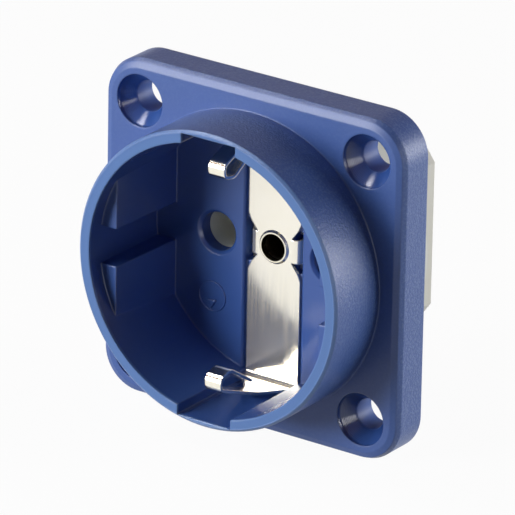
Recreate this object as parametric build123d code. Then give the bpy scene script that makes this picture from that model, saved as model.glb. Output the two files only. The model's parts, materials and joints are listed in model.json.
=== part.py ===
from build123d import *
import math
import os

os.makedirs("parts", exist_ok=True)

# An earthed socket for a panel, in millimetres. X points right, Y to the rear and Z up.
# The origin is the centre of the flange's back face, the face that lies on the panel.

# Flange
flange_side = 50.0
flange_thickness = 6.0
flange_corner_radius = 6.0
flange_edge_radius = 1.2
screw_pitch = 38.0
screw_hole_radius = 2.25
countersink_radius = 3.85
countersink_land = 0.5
countersink_cone = 2.0

# Collar and recess
collar_height = 10.4
rim_edge = 0.35
recess_radius = 19.86
recess_depth = 16.0
rim_wall = 1.79
floor_thickness = 2.3

# Side blocks with the guide grooves, and the grooves that the earth clips sit in
block_rim_drop = 2.6
block_thickness = 2.81
block_draft = 0.5
guide_half_width = 2.8
clip_groove_depth = 0.94

# Rear spigot
spigot_wall = 1.64

# Pins
pin_pitch = 19.0
pin_radius = 2.4
pin_length = 19.0
pin_hole_clearance = 0.45
pin_lead_in = 0.45

# Earth strap
sheet = 0.5
strap_half_width = 4.4
strap_set_back = 0.3
channel_clearance = 0.45
channel_edge = 0.3
bend_radius = 0.85
clip_wall_gap = 0.4
clip_half_width = 1.33
clip_kink_height = 5.3
clip_kink_lean = 0.1
clip_kink_radius = 2.0
clip_rim_drop = 2.25
clip_roll_radius = 1.05
clip_roll_length = 2.35
clip_roll_height = 2.3
clip_tongue_length = 4.9
clip_tongue_gap = 2.7
clip_tongue_radius = 1.5
clip_grip_distance = 14.35
waist_shoulder = 2.45
waist_corner_width = 0.5
waist_corner_height = 1.35
waist_notch_width = 1.55
tab_half_width = 1.75
tab_set_in = 0.2

# Centre rivet
rivet_bore_radius = 2.0
rivet_wall = 0.3
rivet_hole_clearance = 0.05
rivet_bore_depth = 10.5
rivet_roll_rise = 0.3
rivet_roll_lap = 0.2
rivet_head_radius = 3.6
rivet_head_thickness = 1.1
rivet_boss_wall = 0.7
rivet_web = 2.7

# Carrier, a round disc in front of an octagonal block with a tower for the pins
disc_set_in = 2.2
disc_depth = 7.3
disc_front_wall = 0.9
block_gap = 0.1
octagon_half_width = 16.0
octagon_corner = 10.6
octagon_depth = 6.3
octagon_edge = 0.5
tower_wall = 0.75
tower_end_wall = 1.2
tower_half_height = 5.6
tower_corner_radius = 1.8
tower_edge = 0.8
counterbore_clearance = 0.4
core_half_gap = 1.0
core_width = 8.2
core_height = 5.4
core_above_tower = 2.0
core_depth = 4.5

# Contacts
sleeve_wall = 0.5
sleeve_clearance = 0.02
sleeve_slit = 0.5
sleeve_slit_gap = 0.9
sleeve_rear_gap = 1.4
contact_thickness = 0.8
contact_head_lap = 0.45
tail_half_width = 2.0
chamber_clearance = 0.3
spring_wall = 0.35
spring_width = 2.6
spring_gap = 1.2
spring_rear_gap = 1.2
spring_clearance = 0.03

# Terminals
terminal_pitch = 7.8
terminal_drop = 9.8
cage_wall = 0.9
cage_side_wall = 0.8
cage_half_length = 2.6
cage_rear_wall = 1.3
cage_edge = 0.4
wire_hole_radius = 2.0
screw_radius = 1.75
screw_running_clearance = 0.05
screw_thread_pitch = 0.6
screw_turns = 4
screw_head_radius = 2.9
screw_head_height = 1.2
screw_tip_gap = 0.25
screw_slot_width = 0.9
screw_slot_depth = 0.6
screw_access_radius = 2.6
running_gap = 0.25

# Stations along Y, worked out from the sizes above
rim_y = -(flange_thickness + collar_height)
floor_y = rim_y + recess_depth
strap_front = floor_y + strap_set_back
strap_back = strap_front + sheet
spigot_back = floor_y + floor_thickness
disc_back = spigot_back + disc_depth
octagon_back = disc_back + octagon_depth
cage_front = spigot_back + disc_front_wall + chamber_clearance
tail_back = disc_back - block_gap
tail_front = tail_back - contact_thickness
wire_y = (cage_front + cage_wall + tail_front) / 2
cage_rear_wall_front = tail_back + chamber_clearance
cage_back = cage_rear_wall_front + cage_rear_wall
cage_travel = screw_thread_pitch * screw_turns
head_front = cage_back + cage_travel + running_gap
head_back = head_front + screw_head_height
chamber_back = head_back + running_gap
rivet_seat = tail_back + rivet_web
pin_tip = floor_y + pin_length
chamber_end = pin_tip + chamber_clearance
tower_back = chamber_end + tower_end_wall
sleeve_back = pin_tip - sleeve_rear_gap

# Radii and half widths that follow
rim_radius = recess_radius + rim_wall
spigot_radius = recess_radius + spigot_wall
disc_radius = spigot_radius - disc_set_in
block_half_width = recess_radius - block_thickness
clip_groove_half_width = strap_half_width + tab_set_in / 2
clip_groove_reach = recess_radius + clip_groove_depth
strap_reach = clip_groove_reach - clip_wall_gap - sheet / 2
channel_half_width = strap_half_width + channel_clearance
tab_reach = strap_half_width - tab_set_in
pin_hole_radius = pin_radius + pin_hole_clearance
terminal_z = -terminal_drop
rivet_radius = rivet_bore_radius + rivet_wall
rivet_hole_radius = rivet_radius + rivet_hole_clearance
rivet_boss_radius = rivet_hole_radius + rivet_boss_wall
sleeve_bore_radius = pin_radius + sleeve_clearance
sleeve_radius = sleeve_bore_radius + sleeve_wall
spring_radius = sleeve_radius + spring_clearance + spring_wall
rear_chamber_radius = spring_radius + chamber_clearance
head_half_width = rear_chamber_radius + contact_head_lap
head_pocket_half_width = head_half_width + block_gap
tower_half_width = pin_pitch / 2 + rear_chamber_radius + tower_wall
counterbore_radius = rivet_head_radius + counterbore_clearance
cage_half_width = tail_half_width + chamber_clearance + cage_side_wall
chamber_half_width = cage_half_width + chamber_clearance
chamber_half_length = cage_half_length + chamber_clearance
link_half_width = tab_reach - sheet
link_pocket_half_width = tab_reach + chamber_clearance
overrun = 1.0
tolerance = 0.001

sides = {"left": -pin_pitch / 2, "right": pin_pitch / 2}
terminals = {"left": -terminal_pitch, "earth": 0.0, "right": terminal_pitch}


def plane_at(y):
    """A plane across the socket at y, its sketches drawn in X and Z and extruded forwards."""
    return Plane(origin=(0, y, 0), x_dir=(1, 0, 0), z_dir=(0, -1, 0))


def slab(sketch, front, back):
    """The sketch as a plate from the station front to the station back."""
    return extrude(plane_at(back) * sketch, back - front)


def disc(radius, front, back, x=0.0, z=0.0):
    return slab(Pos(x, z) * Circle(radius), front, back)


def block(x0, x1, y0, y1, z0, z1):
    centre = Pos((x0 + x1) / 2, (y0 + y1) / 2, (z0 + z1) / 2)
    return centre * Box(x1 - x0, y1 - y0, z1 - z0)


def turned(points):
    """A solid of revolution about Y from (radius, y) points."""
    return revolve(make_face(Polyline(*points, close=True)), Axis.Y)


def circles(part, radius, y):
    """The circular edges of that radius about Y that lie at the station y."""
    found = []
    for edge in part.edges().filter_by(GeomType.CIRCLE):
        if abs(edge.radius - radius) < tolerance and abs(edge.arc_center.Y - y) < tolerance:
            found.append(edge)
    return found


def ribbon(points, radii, half_width, across):
    """Bent sheet: the line through the points with its bends, made one sheet thick."""
    line = FilletPolyline(*points, radius=radii)
    outline = offset(line, sheet / 2, side=Side.BOTH)
    face = make_face(outline.edges())
    return extrude(across * face, half_width, both=True)


def screw_holes():
    front = -flange_thickness
    cone_front = front + countersink_land
    cone_back = cone_front + countersink_cone
    hole = turned([
        (0, front - overrun),
        (countersink_radius, front - overrun),
        (countersink_radius, cone_front),
        (screw_hole_radius, cone_back),
        (screw_hole_radius, overrun),
        (0, overrun),
    ])
    half = screw_pitch / 2
    return [Pos(x, 0, z) * hole for x in (-half, half) for z in (-half, half)]


def flange():
    """The square flange, its front edge rounded off in two flats."""
    corner = flange_edge_radius * (1 - math.sqrt(0.5))
    steps = [(0, flange_edge_radius), (corner, corner), (flange_edge_radius, 0)]
    outlines = []
    for inset, drop in steps:
        side = flange_side - 2 * inset
        outline = RectangleRounded(side, side, flange_corner_radius - inset)
        outlines.append(plane_at(drop - flange_thickness) * outline)
    body = loft(outlines, ruled=True)
    return body + slab(
        RectangleRounded(flange_side, flange_side, flange_corner_radius),
        flange_edge_radius - flange_thickness, 0,
    )


def side_block(side):
    """A flat across the recess at three or nine o'clock, with its guide groove."""
    front = rim_y + block_rim_drop
    outline = Polyline(
        (side * block_half_width, front),
        (side * (block_half_width - block_draft), floor_y),
        (side * rim_radius, floor_y),
        (side * rim_radius, front),
        close=True,
    )
    wedge = extrude(make_face(outline), recess_radius, both=True)
    wall = disc((recess_radius + rim_radius) / 2, front, floor_y)
    groove = block(
        -rim_radius, rim_radius, front, floor_y, -guide_half_width, guide_half_width
    ) & disc(recess_radius, front, floor_y)
    return (wedge & wall) - groove


def strap_channel():
    """The channel across the floor and the two grooves in the wall for the clips."""
    channel = block(
        -channel_half_width, channel_half_width, floor_y - overrun, strap_back,
        -recess_radius, recess_radius,
    ) & disc(recess_radius, floor_y - overrun, strap_back)
    grooves = block(
        -clip_groove_half_width, clip_groove_half_width, rim_y - overrun, strap_back,
        -clip_groove_reach, clip_groove_reach,
    )
    return [channel, grooves]


def tab_slots():
    """Slots beside the rivet boss that the strap's two tabs pass through."""
    slots = []
    for side in (-1, 1):
        inner = side * rivet_boss_radius
        outer = side * channel_half_width
        slots.append(block(
            min(inner, outer), max(inner, outer), floor_y - overrun, spigot_back + overrun,
            -tab_half_width - waist_corner_height, tab_half_width + waist_corner_height,
        ))
    return slots


def front_housing():
    """One moulding: flange, collar, recess with its floor, spigot and rivet boss."""
    body = flange()
    body += disc(rim_radius, rim_y, 0)
    body = chamfer(circles(body, rim_radius, rim_y), rim_edge)
    body += disc(spigot_radius, -overrun, spigot_back)
    body -= disc(recess_radius, rim_y - overrun, floor_y)
    for side in (-1, 1):
        body += side_block(side)
    body -= strap_channel()
    edges = [
        edge for edge in body.edges().filter_by(Axis.Z)
        if abs(abs(edge.center().X) - channel_half_width) < tolerance
        and abs(edge.center().Y - floor_y) < tolerance
    ]
    body = chamfer(edges, channel_edge)
    body += disc(rivet_boss_radius, strap_back, tail_front)
    body -= tab_slots()
    body -= disc(rivet_hole_radius, rim_y, tail_front + overrun)
    for x in sides.values():
        body -= disc(pin_hole_radius, floor_y - overrun, spigot_back + overrun, x)
    body = chamfer(circles(body, pin_hole_radius, floor_y), pin_lead_in)
    body -= screw_holes()
    return body


def terminal_pocket(x, front, back):
    """The space that a cage and its screw head slide in."""
    return block(
        x - chamber_half_width, x + chamber_half_width, front, back,
        terminal_z - chamber_half_length, terminal_z + chamber_half_length,
    )


def carrier_disc():
    """The round front half: it guides the pins and holds the tails, the link and the cages."""
    body = disc(disc_radius, spigot_back, disc_back)
    pocket_front = tail_front - chamber_clearance
    for x in sides.values():
        body -= disc(pin_hole_radius, spigot_back - overrun, disc_back, x)
        body -= block(
            x - head_pocket_half_width, x + head_pocket_half_width,
            pocket_front, disc_back + overrun,
            -head_pocket_half_width, head_pocket_half_width,
        )
    tail_gap = tail_half_width + chamber_clearance
    tail_end = terminal_z - chamber_half_length
    for x in terminals.values():
        body -= terminal_pocket(x, cage_front - chamber_clearance, disc_back + overrun)
        body -= block(x - tail_gap, x + tail_gap, pocket_front, disc_back + overrun, tail_end, 0)
        wire_hole = Pos(x, wire_y, -(disc_radius - terminal_z) / 2)
        body -= wire_hole * Cylinder(wire_hole_radius, disc_radius + terminal_z + 2 * overrun)
    link_reach = rivet_boss_radius + chamber_clearance
    body -= block(
        -link_pocket_half_width, link_pocket_half_width, pocket_front, disc_back + overrun,
        -link_reach, link_reach,
    )
    body -= disc(link_reach, spigot_back - overrun, disc_back)
    tab_gap = tab_half_width + chamber_clearance
    body -= block(
        -link_pocket_half_width, link_pocket_half_width, spigot_back - overrun, disc_back,
        -tab_gap, tab_gap,
    )
    return body


def carrier_body():
    """The outside of the rear half: an octagonal block and the tower for the pins."""
    w = octagon_half_width
    c = octagon_corner
    outline = Polyline(
        (w, -c), (w, c), (c, w), (-c, w), (-w, c), (-w, -c), (-c, -w), (c, -w), close=True
    )
    octagon = slab(make_face(outline), disc_back, octagon_back)
    octagon = chamfer(octagon.faces().sort_by(Axis.Y)[-1].edges(), octagon_edge)
    tower = slab(
        RectangleRounded(2 * tower_half_width, 2 * tower_half_height, tower_corner_radius),
        disc_back, tower_back,
    )
    tower = chamfer(tower.faces().sort_by(Axis.Y)[-1].edges(), tower_edge)
    return octagon + tower


def contact_carrier():
    """The octagonal rear half around the sleeves, the screw heads and the rivet's head."""
    body = carrier_body()
    for x in sides.values():
        body -= disc(rear_chamber_radius, disc_back - overrun, chamber_end, x)
    for x in terminals.values():
        body -= terminal_pocket(x, disc_back - overrun, chamber_back)
        body -= disc(screw_access_radius, chamber_back, octagon_back + overrun, x, terminal_z)
    core_floor = tower_half_height + core_above_tower
    for side in (-1, 1):
        near = side * core_half_gap
        far = side * (core_half_gap + core_width)
        body -= block(
            min(near, far), max(near, far), octagon_back - core_depth, octagon_back + overrun,
            core_floor, core_floor + core_height,
        )
    body -= disc(rivet_hole_radius, disc_back - overrun, rivet_seat + overrun)
    body -= disc(counterbore_radius, rivet_seat, tower_back + overrun)
    return body


def strap_profile():
    """The side view of the whole strap, from one clip's tongue to the other's."""
    mid = (strap_front + strap_back) / 2
    roll_front = rim_y + clip_rim_drop
    grip_y = roll_front + clip_roll_length
    half = [
        (grip_y + clip_tongue_length, strap_reach - clip_tongue_gap),
        (grip_y, clip_grip_distance),
        (roll_front, clip_grip_distance + sheet),
        (roll_front, clip_grip_distance + clip_roll_height),
        (mid - clip_kink_height, strap_reach - clip_kink_lean),
        (mid, strap_reach),
    ]
    radii = [
        clip_tongue_radius, clip_roll_radius, clip_roll_radius, clip_kink_radius, bend_radius
    ]
    points = half + [(y, -z) for y, z in reversed(half)]
    return points, radii + radii[::-1]


def earth_strap():
    """One bent sheet: the floor piece, its two tabs and a spring clip at each end."""
    points, radii = strap_profile()
    across = Plane(origin=(0, 0, 0), x_dir=(0, 1, 0), z_dir=(1, 0, 0))
    body = ribbon(points, radii, strap_half_width, across)
    kink_y = (strap_front + strap_back) / 2 - clip_kink_height
    taper_y = strap_front - bend_radius
    plan = Polyline(
        (strap_half_width, strap_back + overrun),
        (strap_half_width, taper_y),
        (clip_half_width, kink_y),
        (clip_half_width, rim_y),
        (-clip_half_width, rim_y),
        (-clip_half_width, kink_y),
        (-strap_half_width, taper_y),
        (-strap_half_width, strap_back + overrun),
        close=True,
    )
    body &= extrude(make_face(plan), rim_radius, both=True)
    for side in (-1, 1):
        notch = Polyline(
            (side * (strap_half_width - waist_notch_width), -tab_half_width),
            (side * (strap_half_width - waist_corner_width), -tab_half_width - waist_corner_height),
            (side * strap_half_width, -tab_half_width - waist_shoulder),
            (side * (strap_half_width + overrun), -tab_half_width - waist_shoulder),
            (side * (strap_half_width + overrun), tab_half_width + waist_shoulder),
            (side * strap_half_width, tab_half_width + waist_shoulder),
            (side * (strap_half_width - waist_corner_width), tab_half_width + waist_corner_height),
            (side * (strap_half_width - waist_notch_width), tab_half_width),
            close=True,
        )
        body -= slab(make_face(notch), strap_front - overrun, strap_back + overrun)
        body += strap_tab(side)
    body -= disc(rivet_hole_radius, strap_front - overrun, strap_back + overrun)
    return body


def strap_tab(side):
    """A tab bent to the rear beside the rivet, long enough to grip the earth link."""
    mid = (strap_front + strap_back) / 2
    outer = tab_reach - sheet / 2
    points = [
        (side * (rivet_hole_radius + sheet / 2), mid),
        (side * outer, mid),
        (side * outer, tail_back - sheet / 2),
    ]
    return ribbon(points, bend_radius, tab_half_width, Plane.XY)


def centre_rivet():
    """The rivet that clamps strap, housing, earth link and carrier, its hollow end rolled over."""
    roll_front = strap_front - rivet_roll_rise
    roll_radius = rivet_radius + rivet_roll_lap
    return turned([
        (0, strap_front + rivet_bore_depth),
        (rivet_bore_radius, strap_front + rivet_bore_depth),
        (rivet_bore_radius, roll_front),
        (roll_radius - rivet_roll_rise, roll_front),
        (roll_radius, strap_front),
        (rivet_radius, strap_front),
        (rivet_radius, rivet_seat),
        (rivet_head_radius, rivet_seat),
        (rivet_head_radius, rivet_seat + rivet_head_thickness),
        (0, rivet_seat + rivet_head_thickness),
    ])


def contact(x, tail_x):
    """A pole's contact: slit sleeve for the pin, the plate that seats it, and its tail."""
    body = disc(sleeve_radius, tail_front, sleeve_back, x)
    body += block(
        x - head_half_width, x + head_half_width, tail_front, tail_back,
        -head_half_width, head_half_width,
    )
    body += block(
        tail_x - tail_half_width, tail_x + tail_half_width, tail_front, tail_back,
        terminal_z - cage_half_length, 0,
    )
    body -= disc(sleeve_bore_radius, tail_front - overrun, sleeve_back + overrun, x)
    half_slit = sleeve_slit / 2
    reach = sleeve_radius + overrun
    for half_x, half_z in ((half_slit, reach), (reach, half_slit)):
        body -= block(
            x - half_x, x + half_x, tail_back + sleeve_slit_gap, sleeve_back + overrun,
            -half_z, half_z,
        )
    return body


def sleeve_spring(x):
    """The open steel ring that presses a slit sleeve on the pin."""
    back = sleeve_back - spring_rear_gap
    front = back - spring_width
    ring = disc(spring_radius, front, back, x)
    ring -= disc(spring_radius - spring_wall, front - overrun, back + overrun, x)
    ring -= block(
        x - spring_gap / 2, x + spring_gap / 2, front - overrun, back + overrun,
        0, spring_radius + overrun,
    )
    return ring


def earth_link():
    """The strip from the strap's tabs down to the earth terminal."""
    body = block(
        -link_half_width, link_half_width, tail_front, tail_back,
        -rivet_boss_radius, rivet_boss_radius,
    )
    body += block(
        -tail_half_width, tail_half_width, tail_front, tail_back,
        terminal_z - cage_half_length, 0,
    )
    return body - disc(rivet_hole_radius, tail_front - overrun, tail_back + overrun)


def terminal_cage(x):
    """The cage that the screw draws to the rear, to clamp the wire on the tail."""
    body = block(
        x - cage_half_width, x + cage_half_width, cage_front, cage_back,
        terminal_z - cage_half_length, terminal_z + cage_half_length,
    )
    body = chamfer(body.edges().filter_by(Axis.Z), cage_edge)
    inner = cage_half_width - cage_side_wall
    body -= block(
        x - inner, x + inner, cage_front + cage_wall, cage_rear_wall_front,
        terminal_z - cage_half_length - overrun, terminal_z + cage_half_length + overrun,
    )
    hole = screw_radius + screw_running_clearance
    return body - disc(hole, cage_rear_wall_front - overrun, cage_back + overrun, x, terminal_z)


def terminal_screw(x):
    """The captive clamping screw, its slotted head to the rear."""
    body = disc(screw_radius, tail_back + screw_tip_gap, head_front, x, terminal_z)
    body += disc(screw_head_radius, head_front, head_back, x, terminal_z)
    slot = block(
        x - screw_head_radius, x + screw_head_radius,
        head_back - screw_slot_depth, head_back + overrun,
        terminal_z - screw_slot_width / 2, terminal_z + screw_slot_width / 2,
    )
    return body - slot


def build():
    nodes = {
        "front_housing": front_housing(),
        "carrier_disc": carrier_disc(),
        "contact_carrier": contact_carrier(),
        "earth_strap": earth_strap(),
        "centre_rivet": centre_rivet(),
        "earth_link": earth_link(),
    }
    for side, x in sides.items():
        nodes["contact_" + side] = contact(x, terminals[side])
        nodes["sleeve_spring_" + side] = sleeve_spring(x)
    for side, x in terminals.items():
        nodes["terminal_cage_" + side] = terminal_cage(x)
        nodes["terminal_screw_" + side] = terminal_screw(x)
    return nodes


for name, node in build().items():
    export_step(node, "parts/" + name + ".step")
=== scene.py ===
import json
import math

import bpy
from mathutils import Matrix, Vector


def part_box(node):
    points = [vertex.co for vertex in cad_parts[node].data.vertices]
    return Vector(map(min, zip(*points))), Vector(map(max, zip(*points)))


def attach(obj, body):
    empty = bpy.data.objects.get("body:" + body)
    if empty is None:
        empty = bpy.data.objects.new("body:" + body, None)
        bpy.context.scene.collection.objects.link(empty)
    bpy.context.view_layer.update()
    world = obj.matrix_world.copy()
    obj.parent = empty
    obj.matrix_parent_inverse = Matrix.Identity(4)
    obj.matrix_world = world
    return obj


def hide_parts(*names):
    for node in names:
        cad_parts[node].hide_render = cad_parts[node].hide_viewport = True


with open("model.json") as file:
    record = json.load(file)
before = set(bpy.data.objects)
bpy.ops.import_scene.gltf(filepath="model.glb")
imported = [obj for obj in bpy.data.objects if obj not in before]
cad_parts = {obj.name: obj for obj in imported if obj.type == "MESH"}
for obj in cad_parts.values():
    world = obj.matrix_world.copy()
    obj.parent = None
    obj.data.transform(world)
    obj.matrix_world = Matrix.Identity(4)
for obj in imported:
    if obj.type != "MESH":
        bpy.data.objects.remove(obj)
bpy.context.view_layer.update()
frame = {"nodes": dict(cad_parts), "record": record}

# Sizes in metres, in the row's frame: X right, Y to the rear, Z up
MM = 0.001
housing_low, housing_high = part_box("front_housing")
RIM_Y = housing_low.y
FLANGE_BOTTOM = housing_low.z
COLLAR_HEIGHT = 10.4 * MM
RECESS_DEPTH = 16.0 * MM
RECESS_RADIUS = 19.86 * MM
RIM_RADIUS = 21.65 * MM
FLANGE_FRONT = RIM_Y + COLLAR_HEIGHT
FLOOR_Y = RIM_Y + RECESS_DEPTH
SCREW_PITCH = 38 * MM
COUNTERSINK_RADIUS = 3.85 * MM
SCREW_HOLE_RADIUS = 2.25 * MM

# The sides and rear face of the contact carrier's octagon, and how far from them its edges reach
CARRIER_SIDE = 16.0 * MM
CARRIER_REAR = 15.5 * MM
CARRIER_EDGE = 0.6 * MM

# Limits that pick the vertices at the ends of its tower, once the rear face is moved
TOWER_ENDS_FROM = 12.9 * MM
TOWER_REAR_FROM = 18.0 * MM
TOWER_HALF_HEIGHT = 5.7 * MM
MERGE_REACH = 0.002 * MM
NEAR = 0.05 * MM

# How far the rear block departs from that solid, from its outline in the photograph
REAR_DEEPER = 2.7 * MM
SIDES_NARROWER = 1.5 * MM
TOWER_NARROWER = 0.5 * MM

# The generic date insert on the recess floor
DATE_RING_PLACE = Vector((-10.15 * MM, FLOOR_Y, -9.74 * MM))
DATE_RING_RADIUS = 2.2 * MM
DATE_RING_WIRE = 0.15 * MM
DATE_ARROW_RADIUS = 0.85 * MM
DATE_ARROW_DROP = 0.95 * MM
DATE_ARROW_HEIGHT = 0.18 * MM
TURNED_TO_FRONT = (math.radians(90), 0, 0)

# Camera, fitted to the photograph's edges and holes
CAMERA_AZIMUTH = 34.771
CAMERA_ELEVATION = 21.969
CAMERA_ROLL = 1.085
CAMERA_DISTANCE = 968.18 * MM
CAMERA_FOCAL_PIXELS = 6972.29
CAMERA_TARGET = Vector((-2.856 * MM, 0, -2.297 * MM))
CAMERA_CLIP_START = 0.01
PICTURE_PIXELS = 515
SENSOR_WIDTH = 36.0

# Relief of the finishes
GRAIN_HEIGHT = 0.16 * MM
RIPPLE_HEIGHT = 0.03 * MM
TURNING_RING_HEIGHT = 0.006 * MM
TURNING_RING_WAVES = 42000
FINE_GRAIN_HEIGHT = 0.03 * MM
METAL_GRAIN_HEIGHT = 0.01 * MM
SHEET_WAVE_HEIGHT = 0.012 * MM
MOULDED_EDGE = 0.35 * MM
SHEET_EDGE = 0.25 * MM

# Studio colours, linear
WHITE = (1, 1, 1, 1)
ROOM_ABOVE = (0.40, 0.29, 0.25, 1)
DIM_HORIZON = (0.06, 0.05, 0.045, 1)
DIM_ABOVE = (0.03, 0.022, 0.02, 1)
HORIZON_REACH = 0.22
FLOOR_SIZE = 6.0
FLOOR_PAINT = (0.95, 0.95, 0.95, 1)
FLOOR_FOR_BOUNCES = (0.16, 0.15, 0.14, 1)
FLOOR_GLOW = 0.95
FLOOR_ROUGHNESS = 0.9


class Signal:
    """A number or vector that changes over a surface. Arithmetic on it adds Math nodes."""

    def __init__(self, shading, socket):
        self.shading = shading
        self.socket = socket

    def __add__(self, other):
        return self.shading.maths("ADD", self, other)

    def __radd__(self, other):
        return self.shading.maths("ADD", other, self)

    def __sub__(self, other):
        return self.shading.maths("SUBTRACT", self, other)

    def __rsub__(self, other):
        return self.shading.maths("SUBTRACT", other, self)

    def __mul__(self, other):
        return self.shading.maths("MULTIPLY", self, other)

    def __rmul__(self, other):
        return self.shading.maths("MULTIPLY", other, self)

    def __abs__(self):
        return self.shading.maths("ABSOLUTE", self)


class Shading:
    """A tree of shader nodes, with short ways to add to it."""

    MIX_COLOURS = (6, 7)
    MIX_RESULT = 2

    def __init__(self, tree):
        self.tree = tree

    def node(self, kind, settings, sockets, output=0):
        """Adds a node with its settings, then its sockets' values or links."""
        made = self.tree.nodes.new(kind)
        for name, value in settings.items():
            setattr(made, name, value)
        for name, value in sockets.items():
            if isinstance(value, Signal):
                self.tree.links.new(value.socket, made.inputs[name])
            else:
                made.inputs[name].default_value = value
        return Signal(self, made.outputs[output])

    def maths(self, operation, first, second=0.0):
        return self.node("ShaderNodeMath", {"operation": operation}, {0: first, 1: second})

    def length(self, first, second):
        """The distance from the origin of two coordinates."""
        return self.maths("SQRT", first * first + second * second)

    def span(self, value, low, high, out_low=0.0, out_high=1.0):
        """Value from low to high, mapped to out_low to out_high and held at the ends."""
        return self.node(
            "ShaderNodeMapRange", {"interpolation_type": "SMOOTHSTEP"},
            {"Value": value, "From Min": low, "From Max": high,
             "To Min": out_low, "To Max": out_high},
        )

    def tint(self, factor, first, second):
        """The colour between first and second at the factor."""
        first_socket, second_socket = self.MIX_COLOURS
        sockets = {"Factor": factor, first_socket: first, second_socket: second}
        return self.node("ShaderNodeMix", {"data_type": "RGBA"}, sockets, self.MIX_RESULT)

    def ray(self, *kinds):
        """One where the ray is of one of the kinds, such as Is Camera Ray."""
        total = self.node("ShaderNodeLightPath", {}, {}, kinds[0])
        outputs = total.socket.node.outputs
        for kind in kinds[1:]:
            total = total + Signal(self, outputs[kind])
        return self.maths("MINIMUM", total, 1.0)


class Finish(Shading):
    """A procedural material on one Principled shader."""

    def __init__(self, name, **settings):
        self.material = bpy.data.materials.new(name)
        self.material.use_nodes = True
        super().__init__(self.material.node_tree)
        self.shader = self.tree.nodes["Principled BSDF"]
        for socket, value in settings.items():
            self.shader.inputs[socket.replace("_", " ")].default_value = value
        self.position = self.node("ShaderNodeTexCoord", {}, {}, "Object")

    def feed(self, socket, signal):
        self.tree.links.new(signal.socket, self.shader.inputs[socket])

    def xyz(self):
        """X, Y and Z of the surface point, in metres."""
        split = self.node("ShaderNodeSeparateXYZ", {}, {0: self.position})
        return [Signal(self, output) for output in split.socket.node.outputs]

    def stretched(self, scale):
        """The surface point with each axis scaled by its own factor."""
        return self.node("ShaderNodeMapping", {}, {"Vector": self.position, "Scale": scale})

    def noise(self, scale, detail=2.0, roughness=0.5, vector=None):
        return self.node(
            "ShaderNodeTexNoise", {},
            {"Vector": vector or self.position, "Scale": scale, "Detail": detail,
             "Roughness": roughness},
        )

    def vary(self, noise, low, high, swing=0.2):
        """A number from low to high, as the noise goes that far below and above its middle."""
        return self.span(noise, 0.5 - swing, 0.5 + swing, low, high)

    def bump(self, height, distance, strength, edge=0.0):
        """Raises the height as relief. An edge rounds the shading of corners by that radius."""
        sockets = {"Height": height, "Distance": distance, "Strength": strength}
        if edge:
            sockets["Normal"] = self.node("ShaderNodeBevel", {"samples": 6}, {"Radius": edge})
        self.feed("Normal", self.node("ShaderNodeBump", {}, sockets))


def rgb(red, green, blue):
    """A linear colour from the eight-bit values that a screen shows."""
    channels = [c / 255 for c in (red, green, blue)]
    linear = [c / 12.92 if c <= 0.04045 else ((c + 0.055) / 1.055) ** 2.4 for c in channels]
    return (*linear, 1.0)


def blue_moulding():
    """Satin blue plastic: spark-eroded grain outside, smooth in the recess and the screw holes."""
    finish = Finish("blue_moulding", IOR=1.52, Coat_Roughness=0.42)
    x, y, z = finish.xyz()

    # Where on the moulding the point lies
    half_pitch = SCREW_PITCH / 2
    from_screw = finish.length(abs(x) - half_pitch, abs(z) - half_pitch)
    outside = finish.span(
        finish.length(x, z), RECESS_RADIUS + 1.2 * MM, RIM_RADIUS - 0.3 * MM
    )
    holes = finish.span(
        from_screw, COUNTERSINK_RADIUS - 0.1 * MM, COUNTERSINK_RADIUS + 0.1 * MM, 1.0, 0.0
    )
    bore = finish.span(
        from_screw, SCREW_HOLE_RADIUS + 0.03 * MM, SCREW_HOLE_RADIUS + 0.15 * MM, 1.0, 0.0
    )
    off_front = finish.span(abs(y - FLANGE_FRONT), 0.1 * MM, 1.2 * MM, 0.2, 1.0)
    rim = finish.span(y, RIM_Y + 0.2 * MM, RIM_Y + 0.6 * MM, 1.0, 0.0)
    grained = outside * (1 - holes)

    # Blue, with painted light on the rim and pale specks where the grain stands up
    grain = finish.noise(scale=2900, detail=3.0, roughness=0.62)
    shade = finish.tint(finish.noise(scale=90), rgb(56, 88, 156), rgb(62, 95, 165))
    # Painted light: the rim's front face is tinted lighter for the light it catches there
    shade = finish.tint(rim * 0.7, shade, rgb(96, 136, 196))
    # The specks are partly the grain's own pale tone and partly painted glints of light off the
    # grain, fewer on the flange front
    grain_speck_and_glint = finish.span(grain, 0.44, 0.66, 0.0, 0.50) * grained * off_front
    finish.feed("Base Color", finish.tint(grain_speck_and_glint, shade, rgb(98, 126, 178)))

    # Gloss and relief: grain outside, and turning rings in the countersinks
    gloss_lost = finish.span(grained, 0, 1, 0.26, 0.38)
    finish.feed("Roughness", gloss_lost - holes * 0.10 + bore * 0.36)
    finish.feed("Coat Weight", grained * 0.08)
    rings = finish.maths("SINE", from_screw * TURNING_RING_WAVES) * holes * TURNING_RING_HEIGHT
    ripple = finish.noise(scale=160, detail=1.0) * RIPPLE_HEIGHT
    stipple = grain * grained * off_front * GRAIN_HEIGHT
    finish.bump(stipple + ripple + rings, distance=1.0, strength=0.6, edge=MOULDED_EDGE)
    return finish.material


def light_moulding(name, cloud_scale, dark, light, grain_scale, low, high, relief):
    """A light plastic with faint clouds and a fine grain, as rough as low to high."""
    finish = Finish(name, IOR=1.5)
    finish.feed("Base Color", finish.tint(finish.noise(cloud_scale), dark, light))
    grain = finish.noise(grain_scale)
    finish.feed("Roughness", finish.vary(grain, low, high, swing=0.3))
    finish.bump(grain, FINE_GRAIN_HEIGHT, relief)
    return finish.material


def white_moulding():
    """The round front half of the carrier, a little whiter and glossier than the rest."""
    return light_moulding(
        "white_moulding", cloud_scale=60, dark=rgb(222, 225, 216), light=rgb(232, 234, 228),
        grain_scale=2400, low=0.34, high=0.44, relief=0.3,
    )


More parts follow.
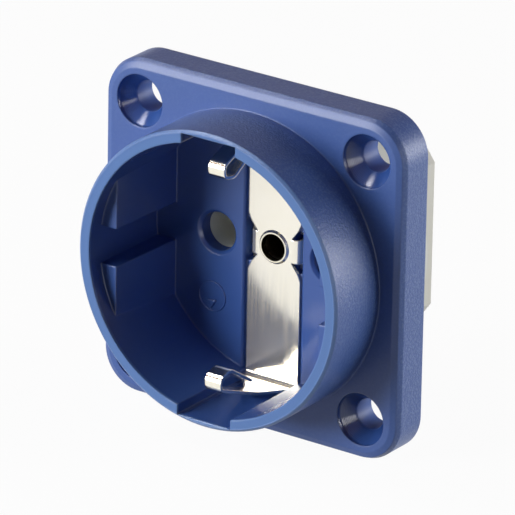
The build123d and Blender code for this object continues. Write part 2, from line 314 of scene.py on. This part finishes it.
def grey_moulding():
    """The light warm-grey plastic of the contact carrier."""
    return light_moulding(
        "grey_moulding", cloud_scale=70, dark=rgb(214, 214, 204), light=rgb(224, 224, 216),
        grain_scale=3000, low=0.42, high=0.54, relief=0.4,
    )


def nickel_plate():
    """Bright nickel on rolled sheet, slightly warm, with the rolling lines up the strap."""
    finish = Finish("nickel_plate")
    x, y, z = finish.xyz()
    clips_to_strap = finish.span(y, FLOOR_Y - 1.6 * MM, FLOOR_Y - 0.5 * MM, 1.0, 0.8)
    finish.feed("Metallic", clips_to_strap)
    lines = finish.noise(1.0, roughness=0.6, vector=finish.stretched((2600, 2600, 60)))
    cloud = finish.noise(scale=160, detail=3.0, roughness=0.55)
    finish.feed("Base Color", finish.tint(cloud, rgb(244, 239, 222), rgb(254, 250, 240)))
    finish.feed("Roughness", finish.vary(lines, 0.13, 0.20) + (cloud - 0.5) * 0.10)
    finish.bump(lines * 0.3 + cloud, SHEET_WAVE_HEIGHT, 0.5, edge=SHEET_EDGE)
    return finish.material


def plain_metal(name, cloud_scale, dark, light, low, high, grain_scale):
    """A metal with clouds of tint and gloss, as rough as low to high."""
    finish = Finish(name, Metallic=1.0)
    cloud = finish.noise(cloud_scale, detail=3.0, roughness=0.6)
    finish.feed("Base Color", finish.tint(cloud, dark, light))
    finish.feed("Roughness", finish.vary(cloud, low, high))
    finish.bump(finish.noise(grain_scale), METAL_GRAIN_HEIGHT, 0.5)
    return finish.material


def brass_sheet():
    """The sleeves, their tails and the earth link."""
    return plain_metal(
        "brass_sheet", cloud_scale=240, dark=rgb(188, 150, 84), light=rgb(222, 190, 120),
        low=0.20, high=0.34, grain_scale=2200,
    )


def zinc_steel():
    """The terminal screws, their cages and the sleeves' springs."""
    return plain_metal(
        "zinc_steel", cloud_scale=300, dark=rgb(176, 178, 180), light=rgb(206, 208, 206),
        low=0.24, high=0.38, grain_scale=2600,
    )


def rivet_metal():
    """Plated and bright at the rolled rim, and rougher down the bore, whose dark brown is the
    brass tube's tone with painted shade of the deep bore.
    """
    finish = Finish("rivet_metal", Metallic=1.0)
    x, y, z = finish.xyz()
    # Painted shade: the deeper down the bore, the darker the brown
    down_bore_shade = finish.span(y, FLOOR_Y + 0.4 * MM, FLOOR_Y + 2.2 * MM)
    cloud = finish.noise(scale=420, detail=3.0, roughness=0.6)
    plate = finish.tint(cloud, rgb(236, 230, 206), rgb(250, 246, 232))
    shaded_bore_brass = finish.tint(cloud, rgb(74, 60, 40), rgb(112, 96, 66))
    finish.feed("Base Color", finish.tint(down_bore_shade, plate, shaded_bore_brass))
    finish.feed("Roughness", finish.vary(cloud, 0.14, 0.22) + down_bore_shade * 0.22)
    finish.bump(finish.noise(scale=2600), METAL_GRAIN_HEIGHT, 0.4)
    return finish.material


def dress(piece, material):
    """Gives the whole piece one material."""
    piece.data.materials.clear()
    piece.data.materials.append(material)


def dress_nodes():
    """Gives every solid of the frame its finish, by the record's material slot."""
    finishes = {
        "blue_plastic": blue_moulding(),
        "grey_plastic": grey_moulding(),
        "white_plastic": white_moulding(),
        "nickel_plate": nickel_plate(),
        "brass": brass_sheet(),
        "zinc_steel": zinc_steel(),
    }
    slots = {entry["node"]: entry["material_slot"] for entry in frame["record"]["subparts"]}
    for name, node in frame["nodes"].items():
        dress(node, finishes[slots[name]])
    dress(frame["nodes"]["centre_rivet"], rivet_metal())
    rear_block(finishes["grey_plastic"])
    date_ring(finishes["blue_plastic"])
    date_arrow(finishes["blue_plastic"])


def pick(piece):
    """Makes the piece the only one selected, and the active one."""
    bpy.ops.object.select_all(action="DESELECT")
    piece.select_set(True)
    bpy.context.view_layer.objects.active = piece


def select_vertices(piece, chosen):
    """Selects only the vertices whose place passes the test, in edit mode."""
    bpy.ops.mesh.select_mode(type="VERT")
    bpy.ops.mesh.select_all(action="DESELECT")
    bpy.ops.object.mode_set(mode="OBJECT")
    for vertex in piece.data.vertices:
        vertex.select = chosen(vertex.co)
    bpy.ops.object.mode_set(mode="EDIT")


def settle(piece, material):
    """Puts the place into the mesh, gives the finish and lets the piece ride on the housing."""
    pick(piece)
    bpy.ops.object.transform_apply(location=True, rotation=True, scale=True)
    dress(piece, material)
    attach(piece, "housing")


def on_tower_end(place):
    """Whether a vertex of the block lies at either end of the tower."""
    far_out = abs(place.x) > TOWER_ENDS_FROM
    return far_out and place.y > TOWER_REAR_FROM and abs(place.z) < TOWER_HALF_HEIGHT


def rear_block(material):
    """The octagonal rear half, as narrow and as deep as its outline beside the flange shows."""
    node = frame["nodes"]["contact_carrier"]
    block = bpy.data.objects.new("carrier_block", node.data.copy())
    bpy.context.scene.collection.objects.link(block)
    pick(block)
    bpy.ops.object.mode_set(mode="EDIT")
    bpy.ops.mesh.select_all(action="SELECT")
    bpy.ops.mesh.remove_doubles(threshold=MERGE_REACH)

    select_vertices(
        block, lambda place: CARRIER_REAR - CARRIER_EDGE < place.y < CARRIER_REAR + NEAR
    )
    bpy.ops.transform.translate(value=(0, REAR_DEEPER, 0))
    for side in (1, -1):
        select_vertices(block, lambda place: place.x * side > CARRIER_SIDE - CARRIER_EDGE)
        bpy.ops.transform.translate(value=(-side * SIDES_NARROWER, 0, 0))
        select_vertices(block, lambda place: on_tower_end(place) and place.x * side > 0)
        bpy.ops.transform.translate(value=(-side * TOWER_NARROWER, 0, 0))

    bpy.ops.object.mode_set(mode="OBJECT")
    bpy.ops.mesh.customdata_custom_splitnormals_clear()
    bpy.ops.object.shade_smooth_by_angle(angle=math.radians(30))
    settle(block, material)
    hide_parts("contact_carrier")


def date_ring(material):
    """The raised ring of a mould's date insert, half sunk in the recess floor."""
    bpy.ops.object.select_all(action="DESELECT")
    bpy.ops.mesh.primitive_torus_add(
        location=DATE_RING_PLACE, rotation=TURNED_TO_FRONT, major_radius=DATE_RING_RADIUS,
        minor_radius=DATE_RING_WIRE, major_segments=64, minor_segments=10,
    )
    ring = bpy.context.active_object
    ring.name = "date_ring"
    bpy.ops.object.shade_smooth()
    settle(ring, material)


def date_arrow(material):
    """The arrow in the date ring, pointing down."""
    middle = DATE_RING_PLACE - Vector((0, 0, DATE_ARROW_DROP))
    bpy.ops.object.select_all(action="DESELECT")
    bpy.ops.mesh.primitive_circle_add(
        location=middle, rotation=TURNED_TO_FRONT, vertices=3, radius=DATE_ARROW_RADIUS,
        fill_type="NGON",
    )
    arrow = bpy.context.active_object
    arrow.name = "date_arrow"
    bpy.ops.object.mode_set(mode="EDIT")
    bpy.ops.mesh.select_all(action="SELECT")
    bpy.ops.transform.rotate(value=math.pi, orient_axis="Y", center_override=middle)
    bpy.ops.mesh.extrude_region_move(
        TRANSFORM_OT_translate={"value": (0, -DATE_ARROW_HEIGHT, 0)}
    )
    bpy.ops.object.mode_set(mode="OBJECT")
    settle(arrow, material)


def place_camera():
    """Looks at the socket from the photograph's angle, with its slight roll."""
    azimuth = math.radians(CAMERA_AZIMUTH)
    elevation = math.radians(CAMERA_ELEVATION)
    away = Vector((
        math.sin(azimuth) * math.cos(elevation),
        -math.cos(azimuth) * math.cos(elevation),
        math.sin(elevation),
    ))
    right = (-away).cross(Vector((0, 0, 1))).normalized()
    up = right.cross(-away)
    roll = math.radians(CAMERA_ROLL)
    rolled_right = right * math.cos(roll) + up * math.sin(roll)
    rolled_up = up * math.cos(roll) - right * math.sin(roll)
    data = bpy.data.cameras.new("camera")
    data.sensor_width = SENSOR_WIDTH
    data.lens = CAMERA_FOCAL_PIXELS / PICTURE_PIXELS * SENSOR_WIDTH
    data.clip_start = CAMERA_CLIP_START
    camera = bpy.data.objects.new("camera", data)
    bpy.context.scene.collection.objects.link(camera)
    axes = Matrix((rolled_right, rolled_up, away)).transposed()
    place = Matrix.Translation(CAMERA_TARGET + away * CAMERA_DISTANCE)
    camera.matrix_world = place @ axes.to_4x4()
    bpy.context.scene.camera = camera


def soft_lamp(name, place, width, height, radiance, lights_all=True):
    """A soft box aimed at the socket. Where it doesn't light all, it shows only in the gloss."""
    data = bpy.data.lights.new(name, "AREA")
    data.shape = "RECTANGLE"
    data.size = width
    data.size_y = height
    data.energy = radiance * math.pi * width * height
    lamp = bpy.data.objects.new(name, data)
    bpy.context.scene.collection.objects.link(lamp)
    lamp.location = place
    lamp.rotation_euler = (-Vector(place)).to_track_quat("-Z", "Y").to_euler()
    lamp.visible_diffuse = lights_all


def light_studio():
    """A large soft box from the front left, strips above and at the right, two from behind."""
    soft_lamp("front_box", (-0.355, -0.53, 0.135), width=0.31, height=0.30, radiance=14.0)
    soft_lamp("top_strip", (-0.32, -0.12, 0.50), width=0.34, height=0.15, radiance=4.0)
    soft_lamp(
        "top_gloss", (-0.30, -0.14, 0.51), width=0.50, height=0.15, radiance=15.0,
        lights_all=False,
    )
    soft_lamp(
        "right_strip", (0.52, -0.33, 0.11), width=0.13, height=0.26, radiance=8.0,
        lights_all=False,
    )
    soft_lamp("back_box", (0.38, 0.46, 0.055), width=0.34, height=0.15, radiance=10.5)
    soft_lamp("side_box", (0.54, 0.24, 0.15), width=0.22, height=0.20, radiance=8.0)


def light_world():
    """White to the camera and at the horizon, and a dim warm room above it."""
    world = bpy.data.worlds.new("studio")
    world.use_nodes = True
    bpy.context.scene.world = world
    shading = Shading(world.node_tree)
    direction = shading.node("ShaderNodeTexCoord", {}, {}, "Generated")
    height = shading.node("ShaderNodeSeparateXYZ", {}, {0: direction}, "Z")
    above = shading.span(height, 0.0, HORIZON_REACH)
    room = shading.tint(above, WHITE, ROOM_ABOVE)
    dim = shading.tint(above, DIM_HORIZON, DIM_ABOVE)
    mirrored = shading.ray("Is Glossy Ray", "Is Transmission Ray")
    colour = shading.tint(mirrored, dim, room)
    colour = shading.tint(shading.ray("Is Camera Ray"), colour, WHITE)
    background = world.node_tree.nodes["Background"]
    world.node_tree.links.new(colour.socket, background.inputs["Color"])


def lay_floor():
    """A white floor that shows as white and keeps a soft shadow."""
    bpy.ops.object.select_all(action="DESELECT")
    bpy.ops.mesh.primitive_plane_add(size=FLOOR_SIZE, location=(0, 0, FLANGE_BOTTOM))
    floor = bpy.context.active_object
    floor.name = "floor"
    finish = Finish("white_floor", Roughness=FLOOR_ROUGHNESS)
    bounced = finish.ray("Is Diffuse Ray")
    finish.feed("Base Color", finish.tint(bounced, FLOOR_PAINT, FLOOR_FOR_BOUNCES))
    seen = finish.ray("Is Camera Ray", "Is Glossy Ray", "Is Transmission Ray")
    glow = finish.node("ShaderNodeEmission", {}, {})
    paint = Signal(finish, finish.shader.outputs["BSDF"])
    mixed = finish.node("ShaderNodeMixShader", {}, {0: seen * FLOOR_GLOW, 1: paint, 2: glow})
    surface = finish.tree.nodes["Material Output"].inputs["Surface"]
    finish.tree.links.new(mixed.socket, surface)
    dress(floor, finish.material)


place_camera()
dress_nodes()
lay_floor()
light_studio()
light_world()

bpy.context.scene.view_settings.view_transform = "Standard"
